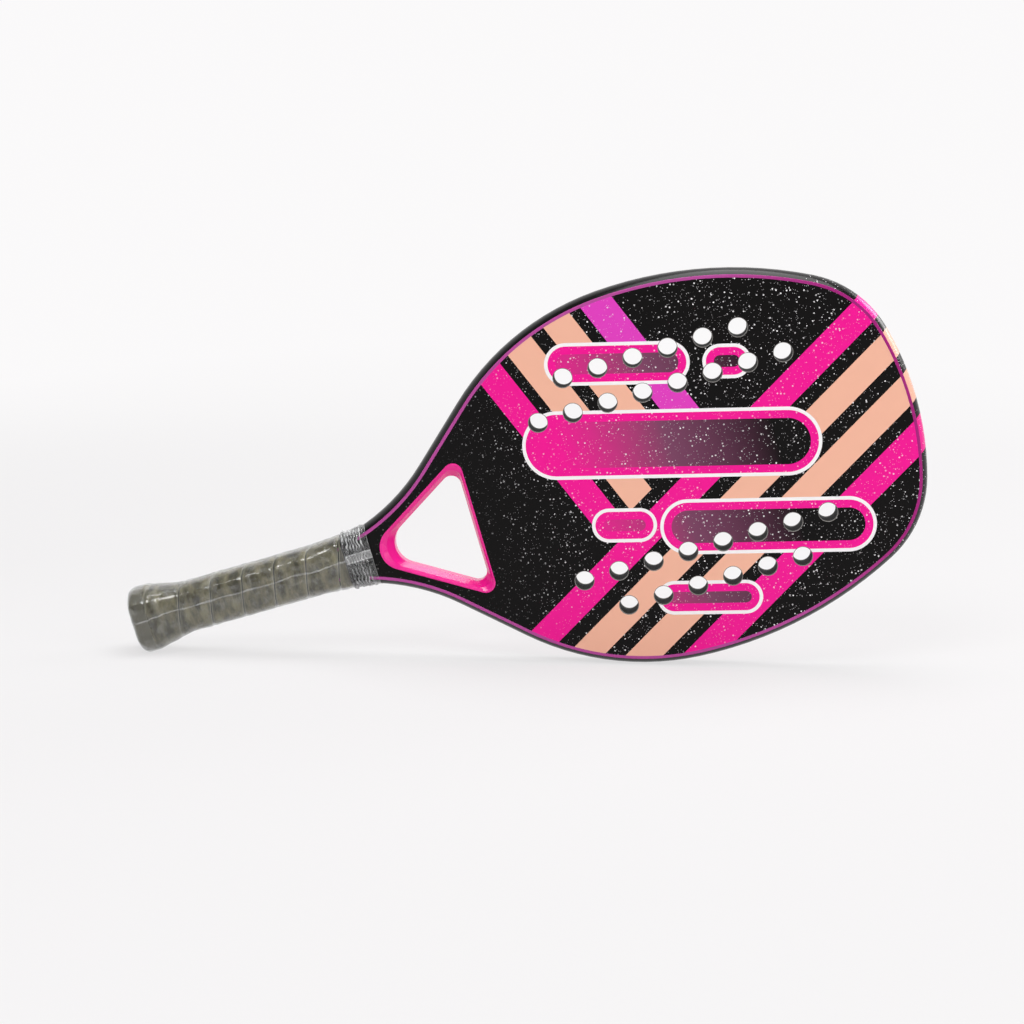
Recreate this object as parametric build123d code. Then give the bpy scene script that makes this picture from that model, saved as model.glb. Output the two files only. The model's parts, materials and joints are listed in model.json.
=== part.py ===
from build123d import *
from math import acos, asin, atan2, cos, degrees, dist, hypot, radians, sin, sqrt, tan
import os

# Sizes in millimetres. Along the racket, u runs from the butt (0) to the tip,
# v runs across the head and w runs out of the front face.

# Head outline: tangent arcs from the tip to the neck
overall_length = 500.0
overall_width = 235.0
side_bulge = 3.8
tip_radius = 180.0
corner_radius = 63.0
side_radius = 245.0
widest_to_tip = 154.5
shoulder_start_angle = 93.4
shoulder_radius = 159.0
neck_flare_angle = 42.1
neck_radius = 130.0

# Thickness of the racket and of its layers
racket_thickness = 21.0
skin_thickness = 0.8
glue_thickness = 0.25
skin_edge_round = 0.35

# Frame tube
tube_inset = 5.8
tube_wall = 1.2
bladder_wall = 0.3
bladder_gap = 0.05
plug_length = 22.0
plug_gap = 0.15
fit_gap = 0.1

# Holes in the face
hole_diameter = 11.5
hole_pitch = 22.0
grid_centre_to_tip = 147.0
inner_row_holes = 8
outer_row_holes = 6
inner_row_offset = 50.6

# Throat opening and its liner
throat_angle = 31.25
throat_base_to_tip = 276.8
throat_apex_radius = 14.0
throat_corner_radius = 6.0
liner_gap = 0.4
liner_side_lip = 4.7
liner_base_lip = 3.6
liner_rim_flat = 0.7
liner_step_share = 0.5
liner_step_depth = 1.4
liner_bevel_depth = 6.5
liner_proud = 0.3

# Bridge and foam round the throat
bridge_width = 10.0
bridge_wall = 1.2
throat_foam_length = 19.0
core_nose_length = 5.0

# Handle
leg_start = 6.0
handle_core_width = 5.4
shell_start = 5.0
shell_past_neck = 15.1
shell_side_wall = 1.4
shell_face_wall = 3.2
shell_ramp = 10.0
shell_bevel_across = 4.5
shell_bevel_deep = 6.3
skin_past_neck = 17.1

# Butt cap, its plug and staples
cap_flare = 5.0
cap_length = 28.0
cap_floor = 4.0
cap_end_wall = 0.8
cap_edge_round = 4.5
plug_diameter = 19.0
plug_flange = 1.2
plug_flange_lip = 1.5
plug_wall = 1.4
plug_depth = 3.4
staple_wire = 1.0
staple_span = 9.0
staple_leg = 4.6
staple_place = 22.0

# Grip tape, finishing tape and film
tape_start = 10.4
tape_past_neck = 26.4
tape_thickness = 1.5
tape_pitch = 20.7
tape_seam_gap = 0.6
tape_facets = 4
octagon_corners = 8
tape_lead = -3.6
tape_settle = 3.0
tape_bed = 0.2
lay_gap = 0.1
finish_start_past_neck = 25.0
finish_end_past_neck = 36.1
finish_thickness = 0.3
finish_settle = 2.0
film_thickness = 0.25
film_gap = 0.3
film_ridges = 7
film_ridge_lead = 0.4
film_ridge_pitch = 1.8
film_ridge_height = 2.2
film_mouth = 0.8

# Worked out from the sizes above
half_thickness = racket_thickness / 2
tube_half = half_thickness - skin_thickness
core_half = tube_half - glue_thickness
face_tip = overall_length - side_bulge
face_half_width = overall_width / 2 - side_bulge
leg_half = tube_inset + handle_core_width / 2
grid_centre = overall_length - grid_centre_to_tip
throat_base = overall_length - throat_base_to_tip
bridge_start = throat_base + fit_gap
bridge_end = bridge_start + bridge_width
core_start = bridge_end + fit_gap
tape_width = tape_pitch - tape_seam_gap


def polar(centre, distance, angle):
    """A point at a distance and an angle in degrees from a centre."""
    turn = radians(angle)
    return centre[0] + distance * cos(turn), centre[1] + distance * sin(turn)


def bearing(start, end):
    """Angle in degrees of the way from one point to another."""
    return degrees(atan2(end[1] - start[1], end[0] - start[0]))


def head_arcs():
    """Centre, radius, first and last angle of the face edge's arcs, tip to shoulder."""
    tip_centre = (face_tip - tip_radius, 0.0)
    side_centre = (overall_length - widest_to_tip, face_half_width - side_radius)
    apart = dist(tip_centre, side_centre)
    tip_reach = tip_radius - corner_radius
    side_reach = side_radius - corner_radius
    lean = acos((tip_reach**2 + apart**2 - side_reach**2) / (2 * tip_reach * apart))
    corner_start = bearing(tip_centre, side_centre) + degrees(lean)
    corner_centre = polar(tip_centre, tip_reach, corner_start)
    corner_end = bearing(side_centre, corner_centre)
    shoulder_centre = polar(side_centre, side_radius - shoulder_radius, shoulder_start_angle)
    return [
        (tip_centre, tip_radius, 0.0, corner_start),
        (corner_centre, corner_radius, corner_start, corner_end),
        (side_centre, side_radius, corner_end, shoulder_start_angle),
        (shoulder_centre, shoulder_radius, shoulder_start_angle, 90 + neck_flare_angle),
    ]


def neck_centre():
    """Centre of the hollow arc that runs from the flared shoulder into the handle."""
    centre, radius, _, end = head_arcs()[-1]
    flare_point = polar(centre, radius, end)
    flare = radians(neck_flare_angle)
    height = leg_half + neck_radius
    along = ((height - flare_point[1]) * cos(flare) - neck_radius) / sin(flare)
    return flare_point[0] + along, height


# Where the pieces on the handle end, past the place where the two legs begin to part
neck_start = neck_centre()[0]
shell_end = neck_start + shell_past_neck
skin_start = neck_start + skin_past_neck
finish_start = neck_start + finish_start_past_neck
tape_end = neck_start + tape_past_neck
finish_end = neck_start + finish_end_past_neck
ridge_start = tape_end + finish_settle + film_ridge_lead
film_end = ridge_start + film_ridges * film_ridge_pitch + film_mouth


def edge_half_width(u):
    """Half width of the face edge in the neck, at a distance from the butt."""
    reach = max(u - neck_start, 0.0)
    return leg_half + neck_radius - sqrt(neck_radius**2 - reach**2)


def upper_edges(offset, start):
    """Edges of the upper side, from the tip to the butt end, at an offset from the face edge."""
    edges = []
    for centre, radius, first, last in head_arcs():
        size = radius + offset
        points = [polar(centre, size, angle) for angle in (first, (first + last) / 2, last)]
        edges.append(Edge.make_three_point_arc(*points))
    centre = neck_centre()
    size = neck_radius - offset
    angles = (neck_flare_angle - 90, neck_flare_angle / 2 - 90, -90)
    neck = [polar(centre, size, angle) for angle in angles]
    edges.append(Edge.make_line(points[-1], neck[0]))
    edges.append(Edge.make_three_point_arc(*neck))
    edges.append(Edge.make_line(neck[-1], (start, leg_half + offset)))
    return edges


def outline_path(offset, start):
    """Open path round the racket, from the lower leg's end to the upper leg's end."""
    upper = upper_edges(offset, start)
    return Wire(upper + [edge.mirror(Plane.XZ) for edge in upper])


def outline_face(offset, start):
    """Flat shape inside the outline at an offset, closed across the butt end."""
    upper = upper_edges(offset, start)
    ends = (start, leg_half + offset), (start, -leg_half - offset)
    closing = Edge.make_line(*ends)
    return Face(Wire(upper + [edge.mirror(Plane.XZ) for edge in upper] + [closing]))


def slab(start, end):
    """A wide block between two distances from the butt, to cut shapes with."""
    size = 3 * overall_width
    return Pos((start + end) / 2, 0, 0) * Box(end - start, size, size)


def plate(face, low, high):
    """A flat shape given thickness between two heights."""
    return Pos(0, 0, low) * extrude(face, high - low, dir=(0, 0, 1))


def hole_places():
    """Centres of the face holes: two long rows and two short rows on a square grid."""
    places = []
    for side in (-1, 1):
        for count, offset in ((inner_row_holes, 0.0), (outer_row_holes, hole_pitch)):
            for i in range(count):
                u = grid_centre + (i - (count - 1) / 2) * hole_pitch
                places.append((u, side * (inner_row_offset + offset)))
    return places


def holes():
    """Straight cutters for all the face holes."""
    return [Pos(u, v, 0) * Cylinder(hole_diameter / 2, 2 * racket_thickness) for u, v in hole_places()]


# Frame tube
bulge_radius = (tube_half**2 + side_bulge**2) / (2 * side_bulge)


def tube_section(shrink, start):
    """The frame tube's cross-section at the lower leg's end, drawn in by a wall."""
    half = tube_half - shrink
    centre = side_bulge - bulge_radius
    radius = bulge_radius - shrink
    shoulder = centre + sqrt(radius**2 - half**2)
    inner = shrink - tube_inset
    lines = [
        Edge.make_line((inner, -half), (shoulder, -half)),
        Edge.make_three_point_arc((shoulder, -half), (centre + radius, 0), (shoulder, half)),
        Edge.make_line((shoulder, half), (inner, half)),
        Edge.make_line((inner, half), (inner, -half)),
    ]
    plane = Plane(origin=(start, -leg_half, 0), x_dir=(0, -1, 0), z_dir=(-1, 0, 0))
    return plane * Face(Wire(lines))


def swept_tube(shrink, start):
    """A solid bar of the tube's section, drawn in by a wall, all the way round."""
    return sweep(tube_section(shrink, start), path=outline_path(0, start))


def racket_envelope(gap):
    """The bare frame with everything inside it, and a gap all round."""
    inside = plate(outline_face(-tube_inset / 2, leg_start - gap), -tube_half - gap, tube_half + gap)
    return swept_tube(-gap, leg_start - gap) + inside


def make_frame_tube():
    """Hollow tube: one loop round the head, with two legs into the handle."""
    return swept_tube(0, leg_start) - swept_tube(tube_wall, leg_start)


def make_frame_bladder():
    """The thin moulding bladder that stays inside the tube."""
    start = leg_start + plug_length + fit_gap
    outside = tube_wall + bladder_gap
    return swept_tube(outside, start) - swept_tube(outside + bladder_wall, start)


def make_tube_plugs():
    """A plug in each open end of the tube."""
    section = tube_section(tube_wall + plug_gap, leg_start)
    plug = extrude(section, plug_length, dir=(1, 0, 0))
    return [plug, plug.mirror(Plane.XZ)]


# Throat
def throat_face(side_shift, base_shift, apex_radius, corner_radius_here):
    """The rounded triangle of the throat, its sides and its base moved inwards."""
    slope = radians(throat_angle)
    centre = neck_centre()
    reach = neck_radius + tube_inset + liner_gap
    vertex = centre[0] + (reach - centre[1] * cos(slope)) / sin(slope)
    vertex = vertex + side_shift / sin(slope)
    base = throat_base - base_shift
    half = (base - vertex) * tan(slope)
    face = Face(Wire.make_polygon([(vertex, 0), (base, -half), (base, half)]))
    corners = face.vertices().sort_by(Axis.X)
    face = face.fillet_2d(apex_radius, corners[:1])
    base_corners = face.vertices().sort_by(Axis.X)[-2:]
    return face.fillet_2d(corner_radius_here, base_corners)


def liner_outside(gap):
    """Outer shape of the throat liner, grown by a gap."""
    return throat_face(-gap, -gap, throat_apex_radius + gap, throat_corner_radius + gap)


def make_throat_liner():
    """Moulded surround of the throat: a ring with a lip in two slopes on both faces."""
    top = half_thickness + liner_proud
    levels = (
        (0.0, liner_rim_flat, liner_rim_flat),
        (liner_step_depth, liner_step_share * liner_side_lip, liner_step_share * liner_base_lip),
        (liner_bevel_depth, liner_side_lip, liner_base_lip),
    )
    outlines = [throat_face(*lip, throat_apex_radius, throat_corner_radius) for _, *lip in levels]
    ring = plate(liner_outside(0), -top, top) - plate(outlines[-1], -top, top)
    for side in (-1, 1):
        loops = [Pos(0, 0, side * (top - level[0])) * face for level, face in zip(levels, outlines)]
        for outer, inner in zip(loops, loops[1:]):
            ring -= loft([outer, inner], ruled=True)
    return ring


def inner_zone(start, end, half):
    """What lies inside the frame tube between two distances from the butt."""
    zone = plate(outline_face(-tube_inset - fit_gap, leg_start), -half, half)
    return zone & slab(start, end)


def make_throat_bridge():
    """Box-section tie between the two shafts, at the head side of the throat."""
    bar = inner_zone(bridge_start, bridge_end, tube_half)
    return bar - bridge_cavity(0)


def bridge_cavity(gap):
    """The space inside the bridge, drawn in by a gap."""
    shrink = bridge_wall + gap
    half = tube_half - shrink
    zone = plate(outline_face(-tube_inset - fit_gap - shrink, leg_start), -half, half)
    return zone & slab(bridge_start + shrink, bridge_end - shrink)


def make_bridge_foam():
    """Foam bar inside the bridge."""
    return bridge_cavity(bladder_gap)


def make_throat_foam():
    """Two foam wedges between the liner, the shafts and the bridge."""
    zone = inner_zone(throat_base - throat_foam_length, throat_base, tube_half)
    zone -= plate(liner_outside(fit_gap), -racket_thickness, racket_thickness)
    return zone.solids()


# Head core and faces
def make_core_foam():
    """Foam slab of the head, drilled for the holes."""
    zone = inner_zone(core_start, overall_length, core_half)
    return zone - holes()


def make_glue_film(side):
    """Glue film between the foam core and one face."""
    low, high = sorted((side * core_half, side * tube_half))
    zone = plate(outline_face(-tube_inset - fit_gap, leg_start), low, high)
    zone = zone & slab(core_start, overall_length)
    return zone - holes()


def make_face_skin(side):
    """Face skin over the head, the throat and the neck, with its edge rounded."""
    low, high = sorted((side * tube_half, side * half_thickness))
    skin = plate(outline_face(0, leg_start), low, high) & slab(skin_start, overall_length)
    outer = skin.faces().filter_by(Axis.Z).sort_by(Axis.Z)[-1 if side > 0 else 0]
    skin = skin.fillet(min(skin_edge_round, skin_thickness / 2), outer.edges())
    skin -= plate(liner_outside(fit_gap), -racket_thickness, racket_thickness)
    return skin - holes()


# Handle
def make_handle_core():
    """Foam between the two legs, up to the point of the throat."""
    apex = liner_outside(0).bounding_box().min.X
    zone = inner_zone(leg_start, apex + core_nose_length, tube_half)
    return zone - plate(liner_outside(fit_gap), -racket_thickness, racket_thickness)


# An octagonal section is (half width, half depth, front corner across, side corner deep)
shell_half_width = leg_half + side_bulge + shell_side_wall
shell_half_depth = tube_half + shell_face_wall
shell_section = (
    shell_half_width,
    shell_half_depth,
    shell_half_width - shell_bevel_across,
    shell_half_depth - shell_bevel_deep,
)


def grown(section, growth):
    """An octagonal section with all eight sides moved out alike."""
    width, depth, corner_across, corner_deep = section
    across = width - corner_across
    deep = depth - corner_deep
    slope = hypot(across, deep)
    front_shift = growth * (deep / slope) / (1 + across / slope)
    side_shift = growth * (across / slope) / (1 + deep / slope)
    return width + growth, depth + growth, corner_across + front_shift, corner_deep + side_shift


def corners(section):
    """The eight corners in order, from the lower front corner up the front and round the back."""
    width, depth, across, deep = section
    quarter = [(-across, depth), (across, depth), (width, deep), (width, -deep)]
    return quarter + [(-v, -w) for v, w in quarter]


def between(stations, u):
    """The section at a distance from the butt, read between the nearest stations."""
    if u <= stations[0][0]:
        return stations[0][1]
    for (u0, low), (u1, high) in zip(stations, stations[1:]):
        if u <= u1:
            share = (u - u0) / (u1 - u0)
            return tuple(a + (b - a) * share for a, b in zip(low, high))
    return stations[-1][1]


def ring_wire(u, section):
    """An eight-sided wire across the handle."""
    return Wire.make_polygon([(u, v, w) for v, w in corners(section)])


def bar(stations, growth=0.0):
    """A solid bar through eight-sided sections."""
    wires = [ring_wire(u, grown(section, growth)) for u, section in stations]
    return Solid.make_loft(wires, ruled=True)


def neck_section(u, gap):
    """The octagon that just clears the neck at a distance from the butt."""
    edge = edge_half_width(u)
    side = edge + side_bulge + gap
    corner_deep = tube_half * (1 - sqrt(side_bulge / bulge_radius))
    return side, half_thickness + gap, edge, corner_deep


# What the grip tape lies on: the cap's flare, the straight shells, their ramp and the neck
cap_end_growth = fit_gap + cap_end_wall
flare_slope = (cap_flare - cap_end_growth) / (cap_length - tape_start)
under_tape = [
    (tape_start - tape_pitch, grown(shell_section, cap_flare + flare_slope * tape_pitch)),
    (cap_length + cap_end_growth / flare_slope, shell_section),
    (shell_end - shell_ramp, shell_section),
    (tape_end - tape_settle, neck_section(tape_end, lay_gap)),
]


def make_handle_shell(side):
    """Half of the octagonal shell round the legs, thinning onto the neck."""
    last = between(under_tape, shell_end)
    stations = [(shell_start, shell_section), (shell_end - shell_ramp, shell_section), (shell_end, last)]
    shell = bar(stations) - racket_envelope(fit_gap)
    half = Pos(0, 0, side * (overall_width + fit_gap / 2)) * Box(
        3 * overall_length, 2 * overall_width, 2 * overall_width
    )
    return shell & half


# Butt cap
rim_section = grown(shell_section, cap_flare + tape_bed + tape_thickness)
half_round = cap_edge_round * (1 - cos(radians(45)))
cap_profile = [
    (0.0, grown(rim_section, -cap_edge_round)),
    (half_round, grown(rim_section, -half_round)),
    (cap_edge_round, rim_section),
    (tape_start - lay_gap, rim_section),
]


def make_butt_cap():
    """Moulded cap over the handle's end, with a socket and a plug hole."""
    neck = [(u, between(under_tape, u)) for u in (tape_start - 2 * lay_gap, cap_length)]
    cap = bar(cap_profile) + bar(neck)
    socket = [(cap_floor, shell_section), (cap_length + lay_gap, shell_section)]
    cap -= bar(socket, fit_gap)
    cap -= plug_bore(plug_diameter / 2 + fit_gap, -lay_gap, cap_floor + lay_gap)
    cap -= plug_bore(plug_diameter / 2 + plug_flange_lip + fit_gap, -lay_gap, plug_flange + fit_gap)
    return cap


def plug_bore(radius, start, end):
    """A round bar along the handle's axis."""
    return Pos((start + end) / 2, 0, 0) * Rot(0, 90, 0) * Cylinder(radius, end - start)


def make_butt_plug():
    """Plain plug in the cap's end: a flange on a short hollow skirt."""
    plug = plug_bore(plug_diameter / 2 + plug_flange_lip, 0, plug_flange)
    plug += plug_bore(plug_diameter / 2, plug_flange, plug_depth)
    return plug - plug_bore(plug_diameter / 2 - plug_wall, plug_flange, plug_depth)


def staple(side, gap):
    """A wire staple flush in the cap's front or back, grown by a gap."""
    depth = between(under_tape, staple_place)[1]
    wire = staple_wire + 2 * gap
    crown = Pos(staple_place, 0, depth - staple_wire / 2) * Box(wire, staple_span + 2 * gap, wire)
    leg_span = staple_span / 2 - staple_wire / 2
    for across in (-leg_span, leg_span):
        middle = depth - staple_leg / 2
        crown += Pos(staple_place, across, middle) * Box(wire, wire, staple_leg + 2 * gap)
    sunk = Pos(0, 0, -staple_wire / 2) * crown
    return sunk if side > 0 else sunk.mirror(Plane.XY)


# Grip tape
def tape_sections():
    """Loops round the tape's cross-section at every corner that it turns."""
    shape = corners(shell_section)
    sides = [hypot(b[0] - a[0], b[1] - a[1]) for a, b in zip(shape, shape[1:] + shape[:1])]
    middle = tape_start + tape_lead - tape_width / 2
    last = tape_end - tape_settle + tape_width / 2
    loops = []
    while not loops or middle < last + tape_pitch * max(sides) / sum(sides):
        corner = len(loops) % octagon_corners
        inside = []
        outside = []
        for i in range(tape_facets + 1):
            u = middle + (i / tape_facets - 0.5) * tape_width
            under = between(under_tape, u)
            inside.append((u, *corners(grown(under, tape_bed))[corner]))
            outside.append((u, *corners(grown(under, tape_bed + tape_thickness))[corner]))
        loops.append(inside + outside[::-1])
        middle += tape_pitch * sides[corner] / sum(sides)
    return loops


def make_grip_tape():
    """One unbroken strip wound up the handle, cut square at both ends."""
    loops = tape_sections()
    faces = [Face(Wire.make_polygon(loops[0])), Face(Wire.make_polygon(loops[-1]))]
    for first, second in zip(loops, loops[1:]):
        for i in range(len(first)):
            edges = [Edge.make_line(loop[i - 1], loop[i]) for loop in (first, second)]
            faces.append(Face.make_surface_from_curves(*edges))
    strip = Solid(Shell(faces))
    return strip & slab(tape_start, tape_end)


def tape_gap():
    """Least distance between one turn of the tape and the next, over their edge points."""
    loops = tape_sections()
    least = overall_length
    for i, loop in enumerate(loops):
        for other in loops[i + octagon_corners - 2 : i + octagon_corners + 3]:
            for a in (loop[tape_facets], loop[tape_facets + 1]):
                for b in (other[0], other[-1]):
                    least = min(least, dist(a, b))
    return least


# Finishing tape and film
tape_top = tape_bed + tape_thickness
finish_under = [
    (finish_start, grown(between(under_tape, finish_start), tape_top)),
    (tape_end, grown(between(under_tape, tape_end), tape_top)),
    (tape_end + finish_settle, neck_section(tape_end + finish_settle, lay_gap)),
    (finish_end, neck_section(finish_end, lay_gap)),
]


def make_finishing_tape():
    """Thin band over the grip tape's end and the neck behind it."""
    return bar(finish_under, lay_gap + finish_thickness) - bar(finish_under, lay_gap)


tape_turns = (under_tape[1][0], under_tape[2][0])


def film_stations():
    """What the film lies on, with its gathered ridges over the neck."""
    over_tape = [(u, grown(between(under_tape, u), tape_top)) for u in (tape_start, *tape_turns)]
    over_finish = [(u, grown(section, lay_gap + finish_thickness)) for u, section in finish_under[:2]]
    stations = cap_profile[:3] + over_tape + over_finish
    for i in range(film_ridges):
        valley = ridge_start + i * film_ridge_pitch
        crest = valley + film_ridge_pitch / 2
        low = grown(neck_section(valley, lay_gap), 2 * lay_gap + finish_thickness)
        high = grown(neck_section(crest, lay_gap), lay_gap + finish_thickness + film_ridge_height)
        stations += [(valley, low), (crest, high)]
    for u in (film_end - film_mouth, film_end):
        stations.append((u, neck_section(u, 2 * lay_gap)))
    return stations


def make_film_sleeve():
    """Clear film drawn over the whole grip and the butt, open at the neck."""
    inside = [(u, grown(section, film_gap)) for u, section in film_stations()]
    outside = [(u, grown(section, film_thickness)) for u, section in inside]
    inside[0] = (-lay_gap, inside[0][1])
    outside[0] = (-lay_gap - film_thickness, outside[0][1])
    sleeve = bar(outside)
    mouth = (film_end + lay_gap, inside[-1][1])
    return sleeve - bar(inside + [mouth])


# Pose: the racket stands on its edge, on the head's side and the butt's corner
def standing_tilt():
    """Angle of the racket's axis when the head and the butt touch the floor."""
    butt_section = grown(rim_section, film_gap + film_thickness)
    butt = (cap_edge_round, butt_section[0])
    for centre, radius, first, last in head_arcs():
        tilt = bearing(butt, centre) + degrees(asin((radius + side_bulge) / dist(butt, centre)))
        if first <= 90 + tilt <= last:
            touching = tilt
    return touching


def stand(shape, tilt):
    """Turn a shape from the drawing board onto its edge, front face towards -Y."""
    return Rot(0, -tilt, 0) * Rot(90, 0, 0) * shape


def build():
    """Every piece of the racket, by node name, as it lies on the drawing board."""
    staples = [staple(1, 0), staple(-1, 0)]
    slots = staple(1, fit_gap) + staple(-1, fit_gap)
    return {
        "frame_tube": [make_frame_tube()],
        "frame_bladder": [make_frame_bladder()],
        "tube_end_plugs": make_tube_plugs(),
        "throat_bridge": [make_throat_bridge()],
        "bridge_foam": [make_bridge_foam()],
        "throat_foam": make_throat_foam(),
        "throat_liner": [make_throat_liner()],
        "core_foam": [make_core_foam()],
        "front_glue_film": [make_glue_film(1)],
        "back_glue_film": [make_glue_film(-1)],
        "front_face": [make_face_skin(1)],
        "back_face": [make_face_skin(-1)],
        "handle_core": [make_handle_core()],
        "handle_shell_front": [make_handle_shell(1) - slots],
        "handle_shell_back": [make_handle_shell(-1) - slots],
        "butt_cap": [make_butt_cap() - slots],
        "butt_plug": [make_butt_plug()],
        "butt_staples": staples,
        "grip_tape": [make_grip_tape()],
        "finishing_tape": [make_finishing_tape()],
        "film_sleeve": [make_film_sleeve()],
    }


def main():
    """Build the racket, stand it on the floor and write one file per node."""
    tilt = standing_tilt()
    print("tilt of the standing racket, degrees: %.3f" % tilt)
    print("least gap between the grip tape's turns: %.2f" % tape_gap())
    nodes = {}
    for name, shapes in build().items():
        solids = [solid for shape in shapes for solid in shape.solids()]
        nodes[name] = Compound([stand(solid, tilt) for solid in solids])
    box = Compound(list(nodes.values())).bounding_box()
    middle = Pos(-(box.min.X + box.max.X) / 2, -(box.min.Y + box.max.Y) / 2, -box.min.Z)
    os.makedirs("parts", exist_ok=True)
    for name, shape in nodes.items():
        export_step(middle * shape, "parts/%s.step" % name)


if __name__ == "__main__":
    main()
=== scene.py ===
import json
from math import acos, atan2, cos, dist, exp, hypot, pi, radians, sin, sqrt, tau
from types import SimpleNamespace

import bmesh
import bpy
from mathutils import Matrix, Vector, noise


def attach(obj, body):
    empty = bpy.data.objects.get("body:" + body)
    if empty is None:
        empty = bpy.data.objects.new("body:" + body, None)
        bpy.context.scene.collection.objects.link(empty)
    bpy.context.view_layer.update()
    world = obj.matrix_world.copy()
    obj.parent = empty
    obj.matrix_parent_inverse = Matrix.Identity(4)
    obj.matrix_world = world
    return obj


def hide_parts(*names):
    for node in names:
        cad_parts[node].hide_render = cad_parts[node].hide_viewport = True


bl_info = {
    "name": "Beach Tennis Racket",
    "version": (1, 0, 0),
    "blender": (4, 5, 0),
    "location": "View3D > Sidebar > Racket",
    "description": "Dresses a beach tennis racket and sets its studio",
    "category": "Object",
}

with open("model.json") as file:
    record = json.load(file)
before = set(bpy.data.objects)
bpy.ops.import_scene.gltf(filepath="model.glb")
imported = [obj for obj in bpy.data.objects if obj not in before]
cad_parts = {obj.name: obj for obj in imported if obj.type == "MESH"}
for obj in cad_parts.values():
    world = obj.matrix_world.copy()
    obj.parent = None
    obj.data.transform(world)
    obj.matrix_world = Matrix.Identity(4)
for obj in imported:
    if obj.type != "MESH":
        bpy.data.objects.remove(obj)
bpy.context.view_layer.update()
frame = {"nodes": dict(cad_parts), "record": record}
mounts = {mount["name"]: mount for mount in frame["record"]["mounts"]}

# The racket's own frame: u along it from the butt, v across the head, w out of the
# front face, all in millimetres. The head's tip lies on the u axis.
MILLIMETRE = 0.001
OVERALL_LENGTH = 500.0
along = Vector(mounts["head_rim"]["axis"])
out_of_face = Vector(mounts["front_face"]["axis"])
across = out_of_face.cross(along)
butt_middle = Vector(mounts["head_rim"]["pos_m"]) - along * OVERALL_LENGTH * MILLIMETRE
turned = Matrix((along, across, out_of_face)).transposed()
STANDING = Matrix.Translation(butt_middle) @ turned.to_4x4() @ Matrix.Scale(MILLIMETRE, 4)


# Sizes and colours that a user would change
def length(name, description, millimetres):
    """A length, which the sidebar shows in the scene's own units."""
    return bpy.props.FloatProperty(
        name=name,
        description=description,
        default=millimetres * MILLIMETRE,
        min=0.0,
        precision=4,
        subtype="DISTANCE",
    )


def angle(name, description, default):
    """An angle, which the sidebar shows in degrees."""
    return bpy.props.FloatProperty(
        name=name, description=description, default=radians(default), subtype="ANGLE"
    )


def colour(name, description, default):
    """A colour property, as it is seen on the racket."""
    return bpy.props.FloatVectorProperty(
        name=name, description=description, default=default, subtype="COLOR", size=3, min=0.0, max=1.0
    )


class RacketOutline(bpy.types.PropertyGroup):
    """Arcs of the face's edge, which the edge line follows."""

    face_tip: length("Face Tip", "Distance of the face's tip from the butt", 496.2)
    face_half_width: length("Face Half Width", "Half of the face's width", 113.7)
    tip_radius: length("Tip Radius", "Radius of the tip's arc", 180.0)
    corner_radius: length("Corner Radius", "Radius of the arc beside the tip", 63.0)
    side_radius: length("Side Radius", "Radius of the side's arc", 245.0)
    widest_place: length("Widest Place", "Distance of the widest place from the butt", 345.5)
    shoulder_radius: length("Shoulder Radius", "Radius of the shoulder's arc", 159.0)
    neck_radius: length("Neck Radius", "Radius of the hollow arc of the neck", 130.0)
    leg_half_width: length("Leg Half Width", "Half width of the face's edge at the handle", 8.5)
    shoulder_start: angle("Shoulder Start", "Where the shoulder's arc starts", 93.4)
    neck_flare: angle("Neck Flare", "Angle of the straight run into the neck", 42.1)


class RacketPrint(bpy.types.PropertyGroup):
    """Colours and sizes of the printed design."""

    black: colour("Black", "Ground of the print", (0.003, 0.0025, 0.0025))
    pink: colour("Pink", "Broad stripes and borders", (0.93, 0.01, 0.31))
    peach: colour("Peach", "Pale stripes", (0.93, 0.5, 0.36))
    violet: colour("Violet", "Narrow stripes", (0.78, 0.055, 0.54))
    white: colour("White", "Outlines and speckles", (0.97, 0.95, 0.96))
    mauve: colour("Mauve", "Middle of the shaded bands", (0.2, 0.06, 0.125))
    # Pale grey painted highlight on the lips of the drilled holes
    lip_highlight: colour("Lip Highlight", "Painted highlight on the lips of the drilled holes", (0.2, 0.19, 0.18))
    edge: colour("Edge Line", "Line round the face's edge, at its sides", (0.48, 0.075, 0.33))
    tip_edge: colour("Tip Edge Line", "Line round the face's edge, at the tip", (0.38, 0.02, 0.2))
    edge_width: length("Edge Width", "Width of the line round the face's edge", 1.9)
    outline: length("Outline", "Width of the white outline of a band", 2.1)
    border: length("Border", "Width of the pink border of a band", 4.8)
    speckle_pitch: length("Speckle Pitch", "Mean distance between the larger speckles", 2.0)


class RacketGrip(bpy.types.PropertyGroup):
    """Wound grip tape and the film round it."""

    tape: colour("Tape", "Grip tape", (0.215, 0.193, 0.118))
    seam: colour("Seam", "Paler edges of the tape's turns", (0.42, 0.4, 0.31))
    cap: colour("Cap", "Butt cap and its plug", (0.18, 0.167, 0.118))
    tape_start: length("Tape Start", "Where the tape is cut at the butt", 10.4)
    tape_end: length("Tape End", "Where the tape is cut at the neck", 139.3)
    tape_pitch: length("Tape Pitch", "Distance between the turns", 20.7)
    tape_width: length("Tape Width", "Width of the tape", 20.1)
    tape_thickness: length("Tape Thickness", "Thickness of the tape", 1.5)
    film_end: length("Film End", "Where the film is cut", 155.1)
    ridge_start: length("Ridge Start", "Where the film's gathered ridges start", 138.6)
    ridge_pitch: length("Ridge Pitch", "Distance between the gathered ridges", 1.9)
    ridge_height: length("Ridge Height", "Height of the gathered ridges", 2.3)
    ridges: bpy.props.IntProperty(
        name="Ridges", description="Number of gathered ridges", default=8, min=0
    )


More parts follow.
